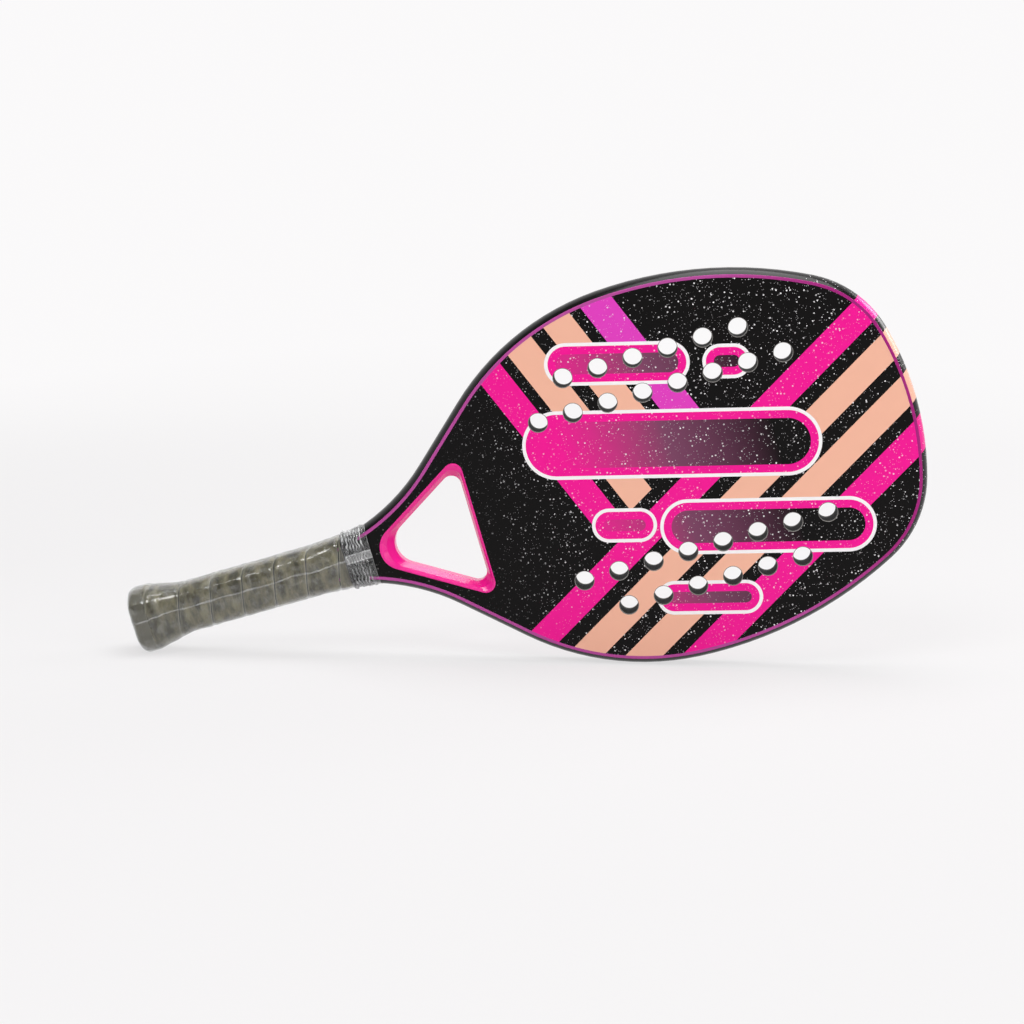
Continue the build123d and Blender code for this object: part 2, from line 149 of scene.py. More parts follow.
class RacketStudio(bpy.types.PropertyGroup):
    """Camera, lamps and floor."""

    lens: bpy.props.FloatProperty(name="Lens", description="Focal length", default=87.9, unit="CAMERA")
    camera_place: bpy.props.FloatVectorProperty(
        name="Camera Place",
        description="Where the camera stands",
        default=(0.0761, -1.5193, 0.3208),
        subtype="XYZ",
        unit="LENGTH",
    )
    camera_target: bpy.props.FloatVectorProperty(
        name="Camera Target",
        description="What the camera looks at",
        default=(-0.0073, 0.0, 0.0920),
        subtype="XYZ",
        unit="LENGTH",
    )
    camera_roll: angle("Camera Roll", "Turn of the camera about its view", 0.71)
    floor: colour("Floor", "Floor and backdrop", (0.6, 0.59, 0.595))
    pale: colour("Background", "Floor and backdrop as the camera sees them", (0.96, 0.95, 0.955))


SETTINGS = (RacketOutline, RacketPrint, RacketGrip, RacketStudio)


def settings(context, group):
    """The scene's settings of one kind, such as the grip's, with their lengths in millimetres."""
    kit = getattr(context.scene, "racket_" + group)
    values = {name: getattr(kit, name) for name in kit.__annotations__}
    for name, value in values.items():
        if kit.bl_rna.properties[name].subtype == "DISTANCE":
            values[name] = value / MILLIMETRE
        elif hasattr(value, "__len__"):
            values[name] = tuple(value)
    return SimpleNamespace(**values)


# Node trees
class Surface:
    """A material with short ways to add nodes, whose places are read in the racket's own frame."""

    def __init__(self, name, base, roughness):
        self.material = bpy.data.materials.new(name)
        self.material.use_nodes = True
        self.tree = self.material.node_tree
        self.shader = self.tree.nodes["Principled BSDF"]
        self.shader.inputs["Base Color"].default_value = (*base, 1.0)
        self.shader.inputs["Roughness"].default_value = roughness

    def feed(self, socket, value):
        """Join an output to an input, or set the input's own value."""
        if isinstance(value, bpy.types.NodeSocket):
            self.tree.links.new(value, socket)
        elif hasattr(value, "__len__") and len(value) == 3 and len(socket.default_value) == 4:
            socket.default_value = (*value, 1.0)
        else:
            socket.default_value = value

    def add(self, kind, inputs, **options):
        """A new node with its options set and its inputs fed."""
        node = self.tree.nodes.new(kind)
        for option, value in options.items():
            setattr(node, option, value)
        for socket, value in inputs.items():
            self.feed(node.inputs[socket], value)
        return node

    def math(self, operation, *values):
        """The result of one sum."""
        return self.add("ShaderNodeMath", dict(enumerate(values)), operation=operation).outputs[0]

    def vector(self, operation, *values):
        """The result of one sum on vectors."""
        node = self.add("ShaderNodeVectorMath", dict(enumerate(values)), operation=operation)
        return node.outputs["Value" if operation in ("DOT_PRODUCT", "LENGTH", "DISTANCE") else "Vector"]

    def mix(self, share, first, second):
        """One colour laid over another by a share."""
        return self.add("ShaderNodeMix", {0: share, 6: first, 7: second}, data_type="RGBA").outputs[2]

    def blend(self, share, first, second):
        """One number blended into another by a share."""
        return self.add("ShaderNodeMix", {0: share, 2: first, 3: second}).outputs[0]

    def step(self, value, low, high):
        """0 below low, 1 above high and straight between them."""
        inputs = {"Value": value, "From Min": low, "From Max": high}
        return self.add("ShaderNodeMapRange", inputs).outputs["Result"]

    def ramp(self, value, stops, interpolation="LINEAR"):
        """Colours laid along a value from 0 to 1."""
        node = self.add("ShaderNodeValToRGB", {"Fac": value})
        node.color_ramp.interpolation = interpolation
        elements = node.color_ramp.elements
        elements[0].position = stops[0][0]
        elements[0].color = (*stops[0][1], 1.0)
        elements[1].position = stops[1][0]
        elements[1].color = (*stops[1][1], 1.0)
        for position, shade in stops[2:]:
            elements.new(position).color = (*shade, 1.0)
        return node.outputs["Color"]

    def place(self):
        """The surface's place in millimetres in the racket's own frame."""
        coordinates = self.add("ShaderNodeTexCoord", {})
        inputs = {
            "Vector": coordinates.outputs["Object"],
            "Location": butt_middle,
            "Rotation": turned.to_euler(),
            "Scale": (MILLIMETRE,) * 3,
        }
        return self.add("ShaderNodeMapping", inputs, vector_type="TEXTURE").outputs["Vector"]

    def along_racket(self, place):
        """How far a place lies from the butt."""
        return self.vector("DOT_PRODUCT", place, (1.0, 0.0, 0.0))

    def noise(self, place, size, detail=2.0, roughness=0.5):
        """Cloudy noise with features of a size in millimetres."""
        inputs = {"Vector": place, "Scale": 1 / size, "Detail": detail, "Roughness": roughness}
        return self.add("ShaderNodeTexNoise", inputs).outputs["Fac"]

    def bump(self, height, depth, strength=1.0):
        """Relief of a depth in millimetres."""
        inputs = {"Height": height, "Distance": depth * MILLIMETRE, "Strength": strength}
        self.feed(self.shader.inputs["Normal"], self.add("ShaderNodeBump", inputs).outputs["Normal"])

    def set(self, **inputs):
        """Set or feed the shader's own inputs, such as coat_weight."""
        for name, value in inputs.items():
            socket = name.replace("_", " ").title().replace("Ior", "IOR")
            self.feed(self.shader.inputs[socket], value)

    def shades(self, cloud, base, darkest, lightest):
        """The base colour made darker and lighter by a cloud."""
        dark = tuple(darkest * share for share in base)
        light = tuple(lightest * share for share in base)
        return self.mix(cloud, dark, light)


# The face's edge and the printed design
def polar(centre, distance, angle):
    """A point at a distance and an angle from a centre."""
    return centre[0] + distance * cos(angle), centre[1] + distance * sin(angle)


def bearing(start, end):
    """Angle of the way from one point to another."""
    return atan2(end[1] - start[1], end[0] - start[0])


def edge_arcs(outline):
    """Centre, radius, first and last angle of the face edge's arcs, from the tip to the shoulder."""
    tip = (outline.face_tip - outline.tip_radius, 0.0)
    side = (outline.widest_place, outline.face_half_width - outline.side_radius)
    apart = dist(tip, side)
    tip_reach = outline.tip_radius - outline.corner_radius
    side_reach = outline.side_radius - outline.corner_radius
    lean = acos((tip_reach**2 + apart**2 - side_reach**2) / (2 * tip_reach * apart))
    corner_start = bearing(tip, side) + lean
    corner = polar(tip, tip_reach, corner_start)
    corner_end = bearing(side, corner)
    shoulder = polar(side, outline.side_radius - outline.shoulder_radius, outline.shoulder_start)
    shoulder_end = pi / 2 + outline.neck_flare
    return [
        (tip, outline.tip_radius, 0.0, corner_start),
        (corner, outline.corner_radius, corner_start, corner_end),
        (side, outline.side_radius, corner_end, outline.shoulder_start),
        (shoulder, outline.shoulder_radius, outline.shoulder_start, shoulder_end),
    ]


def neck_centre(outline):
    """Centre of the hollow arc that runs into the handle."""
    centre, radius, _, end = edge_arcs(outline)[-1]
    flare_point = polar(centre, radius, end)
    flare = outline.neck_flare
    height = outline.leg_half_width + outline.neck_radius
    run = ((height - flare_point[1]) * cos(flare) - outline.neck_radius) / sin(flare)
    return flare_point[0] + run, height


def past_seam(surface, flat, point, angle, before, after):
    """One depth up to the seam between two arcs and the next depth past it."""
    onward = (-sin(angle), cos(angle), 0.0)
    past = surface.vector("DOT_PRODUCT", surface.vector("SUBTRACT", flat, (*point, 0.0)), onward)
    return surface.blend(surface.math("GREATER_THAN", past, 0.0), before, after)


def edge_depth(surface, place, outline):
    """How far in from the face's edge a place lies."""
    flat = surface.vector("MULTIPLY", surface.vector("ABSOLUTE", place), (1.0, 1.0, 0.0))
    depth = None
    for centre, radius, start, end in edge_arcs(outline):
        reach = surface.vector("DISTANCE", flat, (*centre, 0.0))
        inside = surface.math("SUBTRACT", radius, reach)
        depth = inside if depth is None else past_seam(surface, flat, centre, start, depth, inside)
    flare_point = polar(centre, radius, end)
    outward = (-cos(end), -sin(end), 0.0)
    inside = surface.vector("DOT_PRODUCT", surface.vector("SUBTRACT", flat, (*flare_point, 0.0)), outward)
    depth = past_seam(surface, flat, flare_point, end, depth, inside)
    hollow = neck_centre(outline)
    reach = surface.vector("DISTANCE", flat, (*hollow, 0.0))
    inside = surface.math("SUBTRACT", reach, outline.neck_radius)
    return past_seam(surface, flat, hollow, end, depth, inside)


# Stripes of the print: where each colour starts, in millimetres across the stripes
STEEP_ANGLE = radians(22)
STEEP_STRIPES = (
    (262.0, "pink"),
    (279.0, "black"),
    (286.0, "peach"),
    (304.0, "black"),
    (313.0, "peach"),
    (331.0, "black"),
    (338.0, "violet"),
    (357.0, "black"),
)
LOW_ANGLE = radians(-60)
LOW_STRIPES = (
    (180.0, "pink"),
    (197.0, "black"),
    (206.0, "peach"),
    (222.5, "black"),
    (232.0, "peach"),
    (248.5, "black"),
    (257.0, "pink"),
    (274.0, "black"),
)
LOW_START = 172.0
# Middle line and half width of each broad band, in millimetres
BANDS = (
    ((302.0, 80.0), (362.0, 64.0), 13.0),
    ((392.0, 56.0), (400.0, 53.9), 10.5),
    ((283.0, 34.0), (418.0, -2.0), 21.0),
    ((300.0, -22.0), (318.0, -26.8), 10.5),
    ((346.0, -36.0), (440.0, -61.0), 17.0),
    ((326.0, -76.0), (368.0, -87.2), 10.5),
)
# Where along the racket each change of shade starts and ends
BAND_SHADE = (285.0, 412.0)
TIP_STRIPES_START = 455.0
EDGE_SHADE = (400.0, 470.0)
SPECKLES_START = (225.0, 290.0)
# Flecks: largest radius as a share of their pitch, and share of the cells that hold one
FLECK_RADIUS = 0.24
COARSE_SHARE = 0.13
FINE_SHARE = 0.15
FINE_SHINE = 0.5
FEWEST_FLECKS = 0.1

# Drilled holes: a square grid, two rows above the middle and two below
HOLE_RADIUS = 5.75
HOLE_PITCH = 22.0
HOLE_GRID_MIDDLE = 353.0
INNER_ROW = 50.6
LAST_COLUMN = 3
# Width of the painted highlight ring round each hole
LIP_WIDTH = 0.35


def stripes(surface, flat, turn, bounds, inks):
    """Straight stripes of constant colours across the face."""
    low = bounds[0][0] - 1.0
    high = bounds[-1][0] + 1.0
    reach = surface.vector("DOT_PRODUCT", flat, (cos(turn), sin(turn), 0.0))
    share = surface.step(reach, low, high)
    stops = [((start - low) / (high - low), inks[ink]) for start, ink in bounds]
    return surface.ramp(share, [(0.0, inks["black"])] + stops, "CONSTANT")


def band_reach(surface, flat, start, end):
    """Distance of a place from a band's middle line."""
    run = Vector((*end, 0.0)) - Vector((*start, 0.0))
    from_start = surface.vector("SUBTRACT", flat, (*start, 0.0))
    share = surface.vector("DOT_PRODUCT", from_start, run / run.length_squared)
    nearest = surface.vector("MULTIPLY", run, surface.step(share, 0.0, 1.0))
    return surface.vector("DISTANCE", from_start, nearest)


def speckles(surface, place, pitch, largest, share, dimensions="2D"):
    """White flecks of random size and brightness, at most one to a cell."""
    inputs = {"Vector": place, "Scale": 1 / pitch}
    cells = surface.add("ShaderNodeTexVoronoi", inputs, voronoi_dimensions=dimensions)
    chance = surface.add("ShaderNodeSeparateColor", {"Color": cells.outputs["Color"]})
    size = surface.step(chance.outputs["Red"], 1.0 - share, 1.0 - share / 2)
    limit = surface.math("MULTIPLY", size, largest)
    fleck = surface.math("LESS_THAN", cells.outputs["Distance"], limit)
    shine = surface.step(chance.outputs["Green"], -0.8, 0.6)
    return surface.math("MULTIPLY", fleck, shine)


def speckled(surface, flat, kit, design):
    """The design with its speckles, which the peach and white inks cover."""
    reach = surface.along_racket(flat)
    cloud = surface.step(surface.noise(flat, 18.0), 0.25, 0.55)
    crowd = surface.math("MULTIPLY", surface.step(reach, *SPECKLES_START), cloud)
    coarse = speckles(surface, flat, kit.speckle_pitch, FLECK_RADIUS, COARSE_SHARE)
    fine = speckles(surface, flat, kit.speckle_pitch / 2, FLECK_RADIUS, FINE_SHARE)
    flecks = surface.math("MAXIMUM", coarse, surface.math("MULTIPLY", fine, FINE_SHINE))
    inks = surface.add("ShaderNodeSeparateColor", {"Color": design})
    open_ink = surface.step(inks.outputs["Green"], 0.3, 0.1)
    dark_ink = surface.step(inks.outputs["Red"], 2.2, 0.2)
    share = surface.math("MULTIPLY", flecks, surface.blend(crowd, FEWEST_FLECKS, 1.0))
    share = surface.math("MULTIPLY", share, surface.math("MULTIPLY", open_ink, dark_ink))
    return surface.mix(share, design, kit.white)


def printed_stripes(surface, flat, kit):
    """The ground of the print: steep stripes near the throat and low ones past them."""
    inks = {"black": kit.black, "pink": kit.pink, "peach": kit.peach, "violet": kit.violet}
    steep = stripes(surface, flat, STEEP_ANGLE, STEEP_STRIPES, inks)
    low = stripes(surface, flat, LOW_ANGLE, LOW_STRIPES, inks)
    reach = surface.vector("DOT_PRODUCT", flat, (cos(LOW_ANGLE), sin(LOW_ANGLE), 0.0))
    return surface.mix(surface.math("GREATER_THAN", reach, LOW_START), steep, low)


def printed_bands(surface, flat, kit, ground):
    """Broad bands with a white outline, a pink border and a shaded middle, over the ground."""
    reach = surface.along_racket(flat)
    inks = [(0.0, kit.pink), (0.5, kit.mauve), (1.0, kit.black)]
    shade = surface.ramp(surface.step(reach, *BAND_SHADE), inks)
    design = ground
    for start, end, half_width in BANDS:
        from_line = band_reach(surface, flat, start, end)
        border = half_width - kit.outline
        middle = border - kit.border
        for limit, ink in ((half_width, kit.white), (border, kit.pink), (middle, shade)):
            design = surface.mix(surface.math("LESS_THAN", from_line, limit), design, ink)
    return design


def copies_before(surface, place, first, last):
    """How many evenly spaced copies lie before the one nearest to a place."""
    steps = surface.math("DIVIDE", surface.math("SUBTRACT", place, first), HOLE_PITCH)
    steps = surface.math("MAXIMUM", surface.math("ROUND", steps), 0.0)
    return surface.math("MINIMUM", steps, last)


def hole_lip_highlight_mask(surface, flat):
    """1 on the lips of the drilled holes, where a pale ring is painted as a highlight, 0 elsewhere."""
    apart = surface.vector("ABSOLUTE", surface.vector("SUBTRACT", flat, (HOLE_GRID_MIDDLE, 0.0, 0.0)))
    split = surface.add("ShaderNodeSeparateXYZ", {"Vector": apart})
    row = copies_before(surface, split.outputs["Y"], INNER_ROW, 1.0)
    last = surface.math("SUBTRACT", float(LAST_COLUMN), row)
    column = copies_before(surface, split.outputs["X"], HOLE_PITCH / 2, last)
    across_rows = surface.math("MULTIPLY_ADD", row, HOLE_PITCH, INNER_ROW)
    along_rows = surface.math("MULTIPLY_ADD", column, HOLE_PITCH, HOLE_PITCH / 2)
    hole = surface.add("ShaderNodeCombineXYZ", {"X": along_rows, "Y": across_rows}).outputs[0]
    reach = surface.vector("DISTANCE", apart, hole)
    return surface.math("LESS_THAN", reach, HOLE_RADIUS + LIP_WIDTH)


def make_face_print(context):
    """Gloss print: black ground, stripes, broad bands, white flecks, a purple edge line and a painted
    highlight round each hole's lip.
    """
    kit = settings(context, "print")
    surface = Surface("Face Print", kit.black, 0.32)
    place = surface.place()
    flat = surface.vector("MULTIPLY", place, (1.0, 1.0, 0.0))
    reach = surface.along_racket(flat)
    design = printed_bands(surface, flat, kit, printed_stripes(surface, flat, kit))
    design = speckled(surface, flat, kit, design)
    depth = edge_depth(surface, place, settings(context, "outline"))
    edge = surface.mix(surface.step(reach, *EDGE_SHADE), kit.edge, kit.tip_edge)
    design = surface.mix(surface.math("LESS_THAN", depth, kit.edge_width), design, edge)
    # Pale rings round the holes: painted highlight on their lips
    design = surface.mix(hole_lip_highlight_mask(surface, flat), design, kit.lip_highlight)
    wear = surface.noise(place, 30.0, detail=4.0)
    surface.set(base_color=design, roughness=surface.blend(wear, 0.14, 0.3), specular_ior_level=0.12)
    surface.bump(surface.noise(place, 3.0), 0.02, strength=0.3)
    return surface.material


def make_frame_lacquer(context):
    """Gloss black lacquer, with the print's stripes carried over the rim near the tip."""
    kit = settings(context, "print")
    surface = Surface("Frame Lacquer", kit.black, 0.2)
    place = surface.place()
    flat = surface.vector("MULTIPLY", place, (1.0, 1.0, 0.0))
    reach = surface.along_racket(flat)
    tip = surface.math("GREATER_THAN", reach, TIP_STRIPES_START)
    design = surface.mix(tip, kit.black, printed_stripes(surface, flat, kit))
    pitch = kit.speckle_pitch / 2
    flecks = speckles(surface, place, pitch, largest=0.3, share=0.2, dimensions="3D")
    design = surface.mix(surface.math("MULTIPLY", flecks, tip), design, kit.white)
    wear = surface.noise(place, 20.0, detail=4.0)
    surface.set(base_color=design, roughness=surface.blend(wear, 0.14, 0.3))
    surface.set(specular_ior_level=0.12, coat_weight=0.08, coat_roughness=0.05)
    surface.bump(surface.noise(place, 9.0), 0.05, strength=0.25)
    return surface.material


def make_liner_pink(context):
    """Hot pink moulding with faint flow marks."""
    pink = settings(context, "print").pink
    surface = Surface("Liner Pink", pink, 0.25)
    place = surface.place()
    flow = surface.noise(place, 12.0, detail=3.0)
    surface.set(
        base_color=surface.shades(flow, pink, 0.85, 1.08),
        roughness=surface.blend(flow, 0.2, 0.34),
        specular_ior_level=0.35,
        coat_weight=0.3,
        coat_roughness=0.08,
    )
    surface.bump(surface.noise(place, 1.2), 0.02, strength=0.3)
    return surface.material


def make_foam(name, base, cell, roughness=0.9):
    """Closed-cell foam with open pores where it was cut, painted darker towards each pore's middle as
    shade.
    """
    surface = Surface(name, base, roughness)
    inputs = {"Vector": surface.place(), "Scale": 1 / cell}
    pores = surface.add("ShaderNodeTexVoronoi", inputs).outputs["Distance"]
    depth = surface.step(pores, 0.1, 0.5)
    # Painted shade in the pores: darker towards each pore's middle, which the bump also presses in
    surface.set(base_color=surface.shades(depth, base, 0.4, 1.1))
    surface.bump(depth, cell / 3)
    return surface.material


def make_moulded(name, base, roughness, grain=0.35):
    """Moulded plastic with a fine grain and uneven gloss."""
    surface = Surface(name, base, roughness)
    place = surface.place()
    cloud = surface.noise(place, 11.0, detail=3.0)
    surface.set(
        base_color=surface.shades(cloud, base, 0.85, 1.12),
        roughness=surface.blend(cloud, roughness - 0.06, roughness + 0.08),
    )
    surface.bump(surface.noise(place, grain), 0.03, strength=0.5)
    return surface.material


def make_woven_carbon():
    """Bare carbon twill under clear resin."""
    base = (0.03, 0.03, 0.033)
    surface = Surface("Bridge Carbon", base, 0.3)
    inputs = {"Vector": surface.place(), "Scale": 0.5}
    weave = surface.add("ShaderNodeTexChecker", inputs).outputs["Fac"]
    surface.set(base_color=surface.shades(weave, base, 0.4, 1.5), coat_weight=0.8)
    surface.bump(weave, 0.05, strength=0.4)
    return surface.material


def make_wire_steel():
    """Plated wire with fine drawing lines."""
    surface = Surface("Staple Steel", (0.6, 0.6, 0.62), 0.3)
    lengthwise = surface.vector("MULTIPLY", surface.place(), (1.0, 6.0, 6.0))
    lines = surface.noise(lengthwise, 0.6)
    surface.set(metallic=1.0, roughness=surface.blend(lines, 0.2, 0.42))
    surface.bump(lines, 0.01)
    return surface.material


def make_thin_layer(name, base, cloud_size):
    """Cured adhesive or nylon, milky and slightly uneven."""
    surface = Surface(name, base, 0.45)
    cloud = surface.noise(surface.place(), cloud_size, detail=3.0)
    surface.set(base_color=surface.shades(cloud, base, 0.8, 1.0))
    surface.bump(cloud, 0.05, strength=0.4)
    return surface.material


def make_grip_olive(context):
    """Olive-grey grip tape: fine pores, soft creases and paler edges."""
    grip = settings(context, "grip")
    surface = Surface("Grip Olive", grip.tape, 0.6)
    place = surface.place()
    round_it = surface.vector("MULTIPLY", place, (1.0, 0.4, 0.4))
    cloud = surface.noise(round_it, 5.5, detail=5.0, roughness=0.62)
    seam = surface.add("ShaderNodeAttribute", {}, attribute_name="seam").outputs["Fac"]
    patches = surface.step(cloud, 0.38, 0.64)
    base = surface.shades(patches, grip.tape, 0.4, 1.6)
    surface.set(
        base_color=surface.mix(seam, base, grip.seam),
        roughness=surface.blend(cloud, 0.5, 0.7),
        sheen_weight=0.15,
    )
    pores = surface.add("ShaderNodeTexVoronoi", {"Vector": place, "Scale": 1.1}).outputs["Distance"]
    creases = surface.noise(round_it, 2.2, detail=3.0)
    relief = surface.math("MULTIPLY_ADD", pores, 0.35, creases)
    surface.bump(relief, 0.12, strength=0.6)
    return surface.material


def make_clear_film():
    """Clear gloss film: creased, milky where it is welded, white on its gathered ridges in part as milk
    and in part as painted highlight, and clinging in patches.
    """
    surface = Surface("Clear Film", (0.93, 0.94, 0.94), 0.06)
    place = surface.place()
    # Milk of the weld and cut edge, and the ridges' white that is partly painted highlight, read from the
    # vertices
    milk = surface.add("ShaderNodeAttribute", {}, attribute_name="milk").outputs["Fac"]
    cloud = surface.noise(place, 5.0, detail=5.0, roughness=0.65)
    haze = surface.step(cloud, 0.5, 0.62)
    cloudy = surface.math("MULTIPLY_ADD", haze, 0.06, milk)
    clear = surface.math("SUBTRACT", 1.0, surface.math("MINIMUM", cloudy, 0.9))
    surface.set(transmission_weight=clear, ior=1.45, roughness=surface.blend(haze, 0.04, 0.16))
    round_it = surface.vector("MULTIPLY", place, (1.0, 0.45, 0.45))
    folds = surface.noise(round_it, 2.4, detail=5.0, roughness=0.62)
    surface.bump(folds, 0.4, strength=0.45)
    return surface.material


def dress(material, *nodes):
    """Give CAD nodes their finish."""
    for name in nodes:
        mesh = frame["nodes"][name].data
        mesh.materials.clear()
        mesh.materials.append(material)


# What the tape and the film lie on, in millimetres in the racket's own frame
SHELL_SIDES = (13.7, 12.9, 15.0)
BEVEL_ANGLE = radians(35.5)
FLARE = 5.0
FLARE_END = 31.9
RAMP_START = 118.0
TAPE_SETTLE = 3.0
TAPE_BED = 0.2
RIM_BULGE = 3.8
NECK_HALF_DEPTH = 10.6
NECK_BEVEL_TRIM = 2.6
CORNER_SHARPNESS = 12
CAP_ROUND = 4.5
FINISH_START = 137.9
FINISH_END = 149.0
FINISH_THICKNESS = 0.4
FILM_GAP = 0.3
FILM_SETTLE = 2.0


class HandleShape:
    """Distances of the handle's side, front and bevel from its axis, along the handle."""

    def __init__(self, context):
        self.grip = settings(context, "grip")
        self.outline = settings(context, "outline")
        self.hollow_start = neck_centre(self.outline)[0]

    def neck(self, u):
        """The bare neck, with the rim's bulge."""
        reach = max(u - self.hollow_start, 0.0)
        hollow = self.outline.neck_radius
        width = self.outline.leg_half_width + hollow - sqrt(hollow**2 - reach**2) + RIM_BULGE
        corner = width * cos(BEVEL_ANGLE) + NECK_HALF_DEPTH * sin(BEVEL_ANGLE)
        return width, NECK_HALF_DEPTH, corner - NECK_BEVEL_TRIM

    def under_tape(self, u):
        """The cap's flare, the straight shells, and their ramp onto the neck."""
        flare = FLARE * max(0.0, (FLARE_END - u) / (FLARE_END - self.grip.tape_start))
        settle = self.grip.tape_end - TAPE_SETTLE
        share = min(max((u - RAMP_START) / (settle - RAMP_START), 0.0), 1.0)
        neck = self.neck(self.grip.tape_end)
        return [side + flare + (end - side) * share for side, end in zip(SHELL_SIDES, neck)]

    def under_film(self, u):
        """The cap's rounded end, the tape, the finishing tape and the neck."""
        over_tape = TAPE_BED + self.grip.tape_thickness
        finish = FINISH_THICKNESS if FINISH_START < u < FINISH_END else 0.0
        tape = [side + over_tape + finish for side in self.under_tape(max(u, self.grip.tape_start))]
        to_end = CAP_ROUND - max(u, 0.0)
        if to_end > 0.0:
            drawn_in = CAP_ROUND - sqrt(CAP_ROUND**2 - to_end**2)
            return [side - drawn_in for side in tape]
        share = min(max((u - self.grip.tape_end) / FILM_SETTLE, 0.0), 1.0)
        neck = [side + finish for side in self.neck(max(u, self.grip.tape_end))]
        return [first + (last - first) * share for first, last in zip(tape, neck)]


def octagon_reach(sides, turn):
    """Distance from the axis to a soft-cornered octagon, at an angle from the v axis."""
    width, depth, bevel = sides
    facing = [(0.0, width), (pi / 2, depth), (pi, width), (-pi / 2, depth)]
    facing += [(side, bevel) for side in (BEVEL_ANGLE, -BEVEL_ANGLE, pi - BEVEL_ANGLE, BEVEL_ANGLE - pi)]
    total = sum((max(cos(turn - side), 0.0) / reach) ** CORNER_SHARPNESS for side, reach in facing)
    return total ** (-1 / CORNER_SHARPNESS)


def finish_mesh(name, bm, material):
    """Make a shape an object that rides on the racket."""
    for face in bm.faces:
        face.smooth = True
    mesh = bpy.data.meshes.new(name)
    bm.to_mesh(mesh)
    bm.free()
    mesh.materials.append(material)
    piece = bpy.data.objects.new(name, mesh)
    bpy.context.scene.collection.objects.link(piece)
    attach(piece, "root")
    return piece


def stand(bm):
    """Turn a shape from the racket's own frame to where the racket stands, facing outwards."""
    bmesh.ops.transform(bm, matrix=STANDING, verts=bm.verts)
    bmesh.ops.remove_doubles(bm, verts=bm.verts, dist=0.01 * MILLIMETRE)
    bmesh.ops.recalc_face_normals(bm, faces=bm.faces)


def set_shares(piece, name, shares):
    """Store a share at each vertex, which a material reads by its name."""
    attribute = piece.data.attributes.new(name, "FLOAT", "POINT")
    for vertex, share in zip(attribute.data, shares):
        vertex.value = min(max(share, 0.0), 1.0)


# Grip tape
STRIP_POINTS = 20
STRIP_SQUARENESS = 0.35
STRIP_CROWN = 0.3
TURN_STEPS = 56
START_ANGLE = radians(125.5)
TAPE_LEAD = -3.6
SEAM_WIDTH = 0.9


def first_middle(grip):
    """Where the middle of the tape's first turn starts."""
    return grip.tape_start + TAPE_LEAD - grip.tape_width / 2


def from_turn_middle(grip, u, turn):
    """Distance of a place on the handle from the middle of the nearest turn of the tape."""
    turned_by = ((START_ANGLE - turn) / tau) % 1.0
    offset = (u - first_middle(grip) - turned_by * grip.tape_pitch) % grip.tape_pitch
    return min(offset, grip.tape_pitch - offset)


def make_strip_section(bm, grip):
    """Cross-section of the tape: a slot with soft, thinner edges, across the u axis."""
    bmesh.ops.create_circle(bm, cap_ends=True, segments=STRIP_POINTS, radius=1.0)
    for vert in bm.verts:
        x, y = (abs(c) ** STRIP_SQUARENESS * (1 if c > 0 else -1) for c in vert.co.xy)
        crown = STRIP_CROWN * grip.tape_thickness * x**4 if y > 0 else 0.0
        height = (y + 1) * grip.tape_thickness / 2 - crown
        vert.co = Vector((x * grip.tape_width / 2, height, 0.0))


def wind_strip(bm, grip):
    """Wind the strip up the handle as one helix on a round bar."""
    radius = SHELL_SIDES[0]
    make_strip_section(bm, grip)
    start = first_middle(grip)
    turns = (grip.tape_end + grip.tape_width / 2 - start) / grip.tape_pitch
    steps = round(turns * TURN_STEPS)
    to_start = Matrix.Translation((start, 0, 0)) @ Matrix.Rotation(START_ANGLE, 4, "X")
    bmesh.ops.transform(bm, matrix=to_start @ Matrix.Translation((0, radius, 0)), verts=bm.verts)
    bmesh.ops.spin(
        bm,
        geom=bm.verts[:] + bm.edges[:] + bm.faces[:],
        cent=(0, 0, 0),
        axis=(1, 0, 0),
        dvec=(grip.tape_pitch * turns / steps, 0, 0),
        angle=-tau * turns,
        steps=steps,
        use_merge=False,
        use_duplicate=False,
    )
    return radius


def lay_on_handle(bm, shape, radius):
    """Lay what is wound on a round bar on the handle's eight sides."""
    for vert in bm.verts:
        height = hypot(vert.co.y, vert.co.z) - radius
        turn = atan2(vert.co.z, vert.co.y)
        reach = octagon_reach(shape.under_tape(vert.co.x), turn) + TAPE_BED + height
        vert.co.y = reach * cos(turn)
        vert.co.z = reach * sin(turn)


def cut_square(bm, u, outward):
    """Cut a shape off square across the handle and close the cut."""
    geometry = bm.verts[:] + bm.edges[:] + bm.faces[:]
    cut = bmesh.ops.bisect_plane(
        bm, geom=geometry, plane_co=(u, 0, 0), plane_no=(outward, 0, 0), clear_outer=True
    )
    edges = [part for part in cut["geom_cut"] if isinstance(part, bmesh.types.BMEdge)]
    bmesh.ops.holes_fill(bm, edges=edges, sides=0)


def seam_share(grip, place):
    """1 on the tape's outer edges, which are coloured paler, and 0 elsewhere."""
    from_middle = from_turn_middle(grip, place.x, atan2(place.z, place.y))
    return (from_middle - grip.tape_width / 2) / SEAM_WIDTH + 1.0


def make_grip_winding(context):
    """The grip tape, wound as one strip."""
    shape = HandleShape(context)
    grip = shape.grip
    bm = bmesh.new()
    lay_on_handle(bm, shape, wind_strip(bm, grip))
    cut_square(bm, grip.tape_start, -1)
    cut_square(bm, grip.tape_end, 1)
    stand(bm)
    piece = finish_mesh("grip_winding", bm, make_grip_olive(context))
    own = STANDING.inverted()
    shares = [seam_share(grip, own @ vertex.co) for vertex in piece.data.vertices]
    set_shares(piece, "seam", shares)
    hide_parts("grip_tape")


